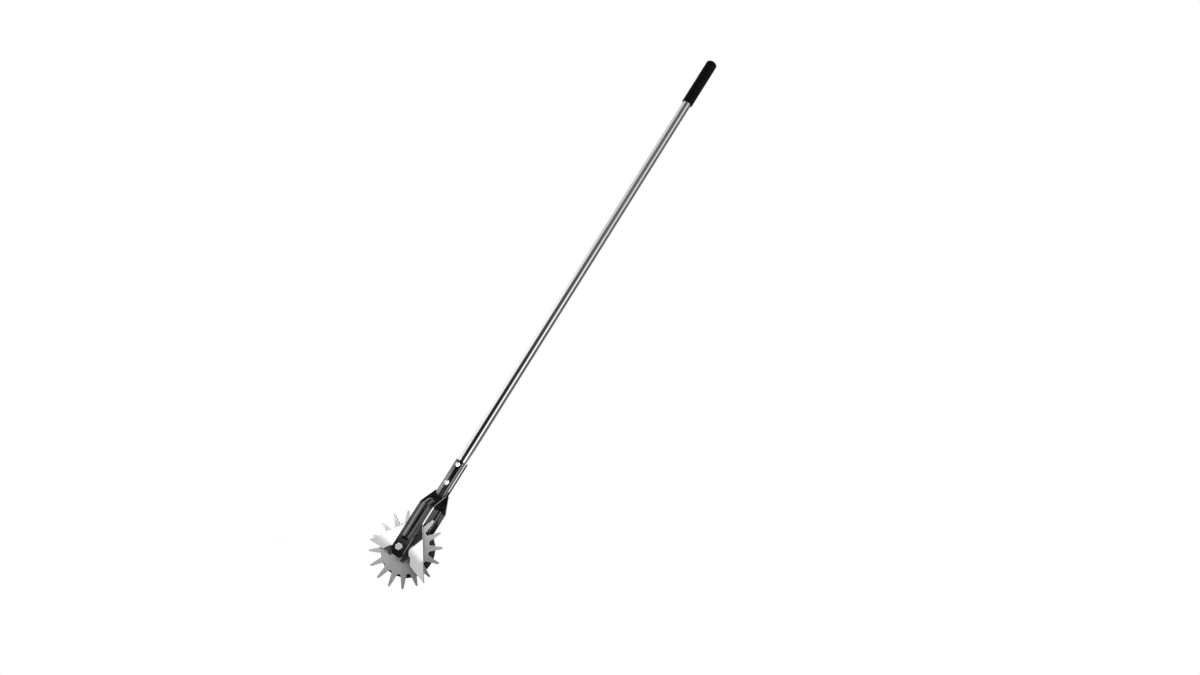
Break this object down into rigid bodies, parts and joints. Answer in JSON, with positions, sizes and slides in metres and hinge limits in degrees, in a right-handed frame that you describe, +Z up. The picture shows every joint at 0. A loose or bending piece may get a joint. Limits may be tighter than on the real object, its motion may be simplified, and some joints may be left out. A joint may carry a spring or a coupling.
{
  "type": "rolling grass trimmer",
  "caption": "Long-handled rolling grass trimmer: a toothed star wheel with a rubber tyre turns in a steel fork and shears grass against a fixed V-shaped blade.",
  "frame": {"origin": "middle of the hand grip's straight part, on the handle's axis", "axes": "+Z up the handle away from the wheel, +Y along the axle away from the blade, +X to the right seen from the blade side"},
  "size_m": [0.1599, 0.1004, 1.3951],
  "materials": {
    "chrome_tube": "bright chromium plate",
    "black_vinyl": "matt vinyl",
    "black_enamel": "semi-gloss black enamel",
    "bright_zinc": "bright zinc plate",
    "turned_steel": "turned",
    "dark_plate": "black oxide",
    "polished_blade": "polished",
    "satin_steel": "satin",
    "white_nylon": "moulded",
    "black_moulding": "moulded",
    "tyre_rubber": "ribbed rubber",
    "bronze": "sintered"
  },
  "bodies": {
    "frame": {"handle_tube": "chrome_tube", "hand_grip": "black_vinyl", "near_fork_half": "black_enamel", "far_fork_half": "black_enamel", "socket_bolts": "bright_zinc", "socket_washers": "bright_zinc", "socket_nuts": "bright_zinc", "axle_bolt": "bright_zinc", "axle_washer": "bright_zinc", "axle_nut": "bright_zinc", "axle_sleeve": "turned_steel", "blade_spacer": "turned_steel", "blade_lock_plate": "dark_plate", "shear_blade": "polished_blade", "near_thrust_washer": "white_nylon", "far_thrust_washer": "white_nylon"},
    "wheel": {"star_wheel": "satin_steel", "wheel_core": "black_moulding", "wheel_tyre": "tyre_rubber", "near_bush": "bronze", "far_bush": "bronze", "star_rivets": "turned_steel"}
  },
  "joints": [
    {"name": "wheel_spin", "type": "hinge", "parent": "frame", "child": "wheel", "pos_m": [0, 0, -1.25], "axis": [0, 1, 0], "continuous": true}
  ]
}
